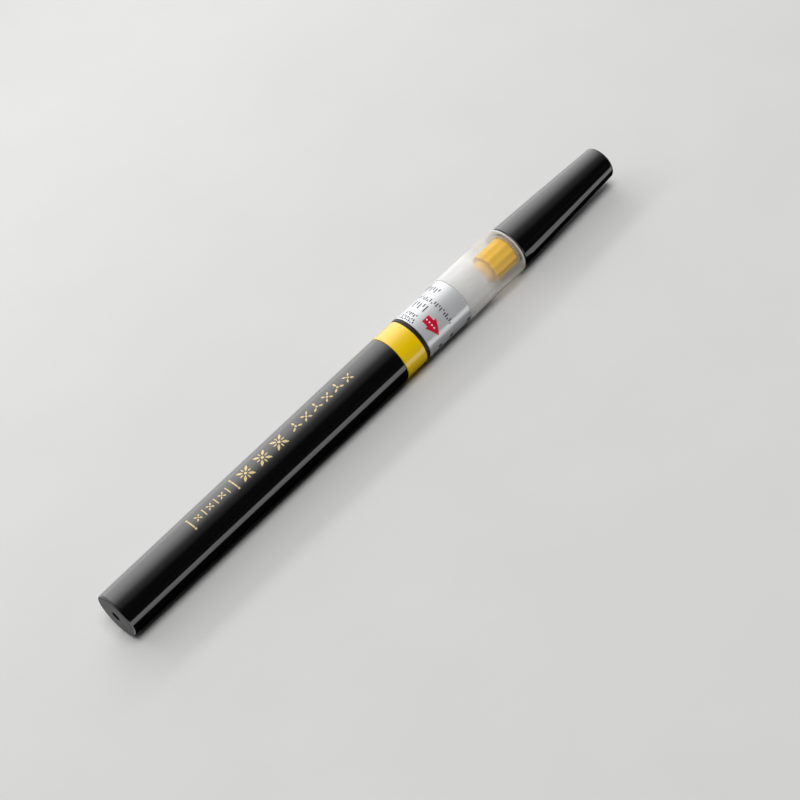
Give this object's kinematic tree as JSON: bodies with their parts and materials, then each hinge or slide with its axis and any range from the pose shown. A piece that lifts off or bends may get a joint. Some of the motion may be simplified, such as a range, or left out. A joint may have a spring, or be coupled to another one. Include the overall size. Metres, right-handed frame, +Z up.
{
  "type": "brush pen",
  "caption": "Cartridge brush pen: long round barrel, stopper ring, labelled and frosted screw-on section with a bristle tip, and a tapered pull-off cap without a clip.",
  "frame": {"origin": "under the middle of the pen, on the surface it lies on", "axes": "+X along the pen from the tail to the cap, +Z up, +Y to the side"},
  "size_m": [0.175, 0.0134, 0.0134],
  "materials": {
    "barrel_black": "high gloss",
    "cap_black": "high gloss",
    "neck_black": "satin",
    "ring_yellow": "gloss",
    "holder_yellow": "satin",
    "section_frosted": "frosted translucent",
    "natural_plastic": "satin",
    "label_silver": "satin metallic",
    "seal_rubber": "matte",
    "steel": "bright",
    "fibre": "bonded fibre",
    "bristle": "fine synthetic bristle",
    "ink": "wet"
  },
  "bodies": {
    "barrel": {"barrel": "barrel_black", "cartridge_tank": "natural_plastic", "cartridge_plug": "natural_plastic", "seal_ball": "steel", "ink_charge": "ink"},
    "ring": {"stopper_ring": "ring_yellow"},
    "section": {"neck_coupling": "neck_black", "neck_seal": "seal_rubber", "piercing_tube": "steel", "front_section": "section_frosted", "section_label": "label_silver", "ink_buffer": "fibre", "relay_core": "fibre", "tuft_holder": "holder_yellow", "tuft_flange": "bristle", "tuft_binding": "natural_plastic", "brush_tuft": "bristle"},
    "cap": {"cap_shell": "cap_black", "inner_cap": "natural_plastic"}
  },
  "joints": [
    {"name": "section_advance", "type": "slide", "parent": "barrel", "child": "ring", "axis": [1, 0, 0], "range_m": [0, 0.006]},
    {"name": "section_unscrew", "type": "hinge", "parent": "ring", "child": "section", "pos_m": [0, 0, 0.0067], "axis": [1, 0, 0], "range_deg": [0, 1080]},
    {"name": "cap_pull", "type": "slide", "parent": "section", "child": "cap", "axis": [1, 0, 0], "range_m": [0, 0.045]}
  ],
  "couplings": [
    {"joint": "section_advance", "follows": "section_unscrew", "m_per_rad": 0.0003183}
  ]
}
